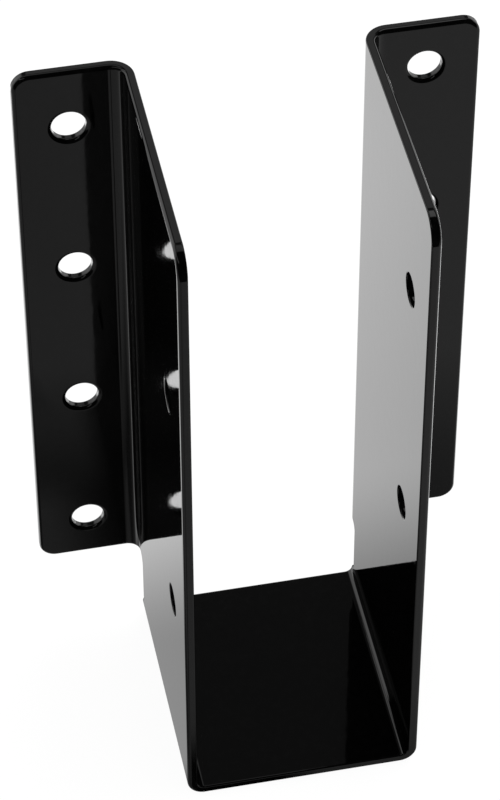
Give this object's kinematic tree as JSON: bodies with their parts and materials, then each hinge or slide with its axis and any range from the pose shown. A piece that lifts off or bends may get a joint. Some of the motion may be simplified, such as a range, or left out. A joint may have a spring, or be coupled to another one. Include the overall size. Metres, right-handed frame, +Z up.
{
  "type": "joist hanger",
  "caption": "Face-mount joist hanger folded from sheet steel: a U-shaped pocket with a seat carries the joist, and drilled side flanges fix it to the header. Gloss black coat.",
  "frame": {"origin": "middle of the width and depth of the whole hanger, on the underside of the seat", "axes": "+Z up along the walls, +Y towards the header that carries the hanger, +X to the right as seen from the joist"},
  "size_m": [0.0812, 0.0518, 0.1334],
  "materials": {
    "black_powder_coat": "gloss powder coat on steel sheet"
  },
  "bodies": {
    "root": {"hanger": "black_powder_coat"}
  },
  "joints": []
}
